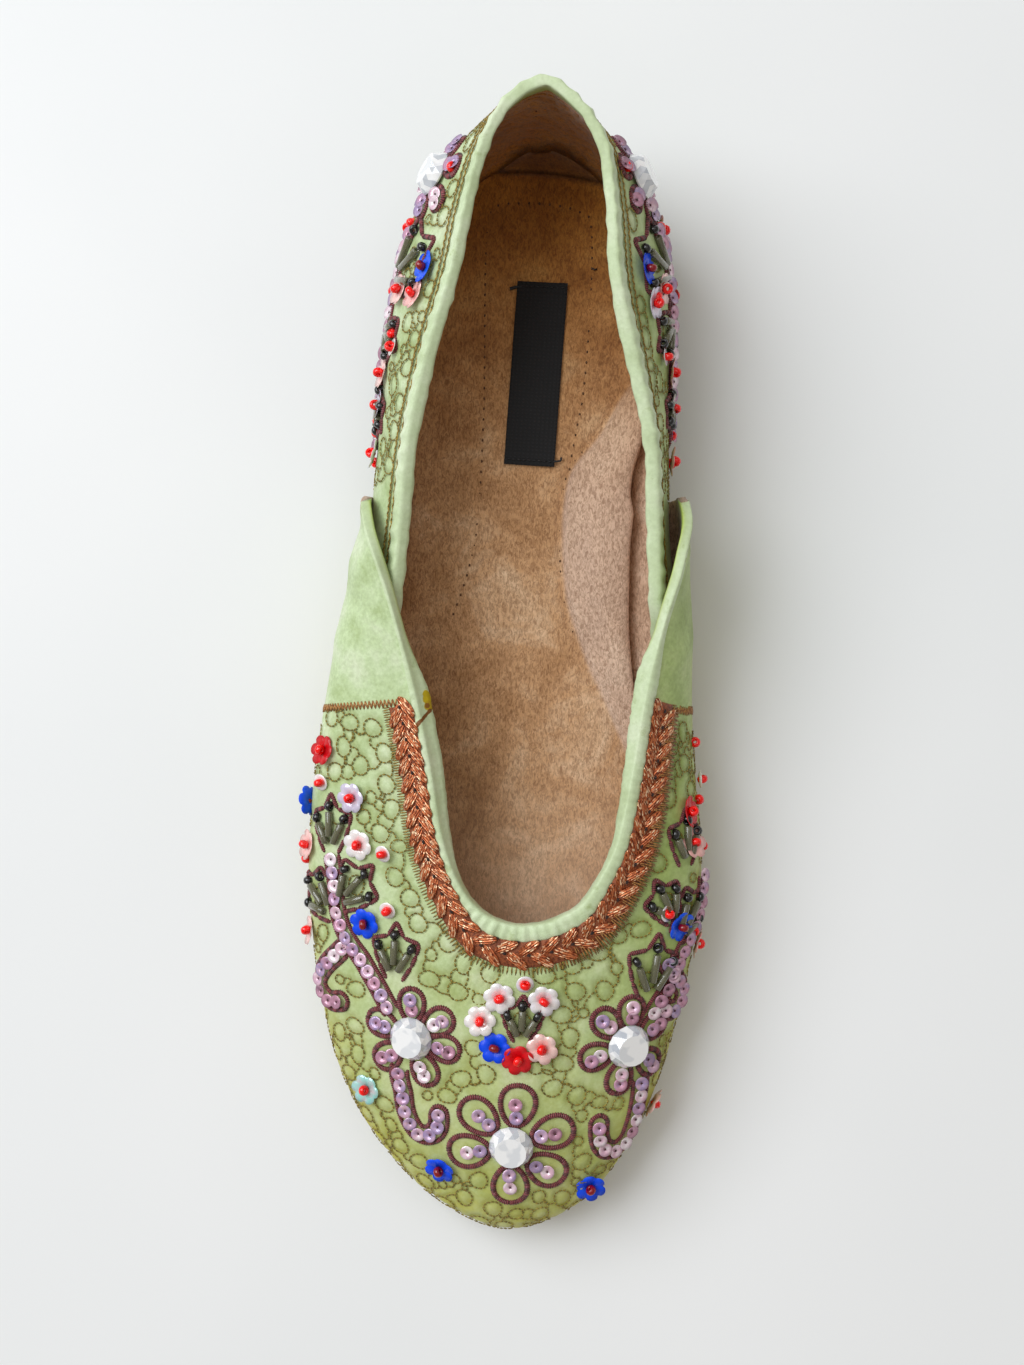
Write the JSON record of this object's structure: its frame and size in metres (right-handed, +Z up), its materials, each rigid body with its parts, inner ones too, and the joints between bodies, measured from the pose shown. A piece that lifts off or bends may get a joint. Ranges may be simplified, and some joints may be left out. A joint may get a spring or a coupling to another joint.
{
  "type": "beaded ballet flat",
  "caption": "Right-foot ballet flat with an embroidered satin upper, braided and bound throat, sewn sequins, beads and stones, padded sock and thin flat sole.",
  "frame": {"origin": "on the floor, under the middle of the shoe's bounding box", "axes": "+Z up, +Y towards the heel, -Y towards the toe, +X towards the medial (inner) side of this right shoe"},
  "size_m": [0.09, 0.2498, 0.0531],
  "materials": {
    "embroidered_satin": "pale lime-green satin, quilted and embroidered",
    "binding_satin": "folded bias strip of pale green satin",
    "copper_braid": "metallic copper thread plait",
    "microsuede": "tan microsuede with a short nap",
    "woven_label": "black woven ribbon, bare",
    "sole_rubber": "thin matt dark brown rubber",
    "heel_rubber": "matt dark brown rubber",
    "clear_acrylic": "clear faceted acrylic with a mirrored back"
  },
  "bodies": {
    "root": {"upper": "embroidered_satin", "throat_binding": "binding_satin", "collar_binding": "binding_satin", "throat_braid": "copper_braid", "insole": "microsuede", "label": "woven_label", "outsole": "sole_rubber", "heel": "heel_rubber", "stone_toe": "clear_acrylic", "stone_vamp_lateral": "clear_acrylic", "stone_vamp_medial": "clear_acrylic", "stone_heel_lateral": "clear_acrylic", "stone_heel_medial": "clear_acrylic"}
  },
  "joints": []
}
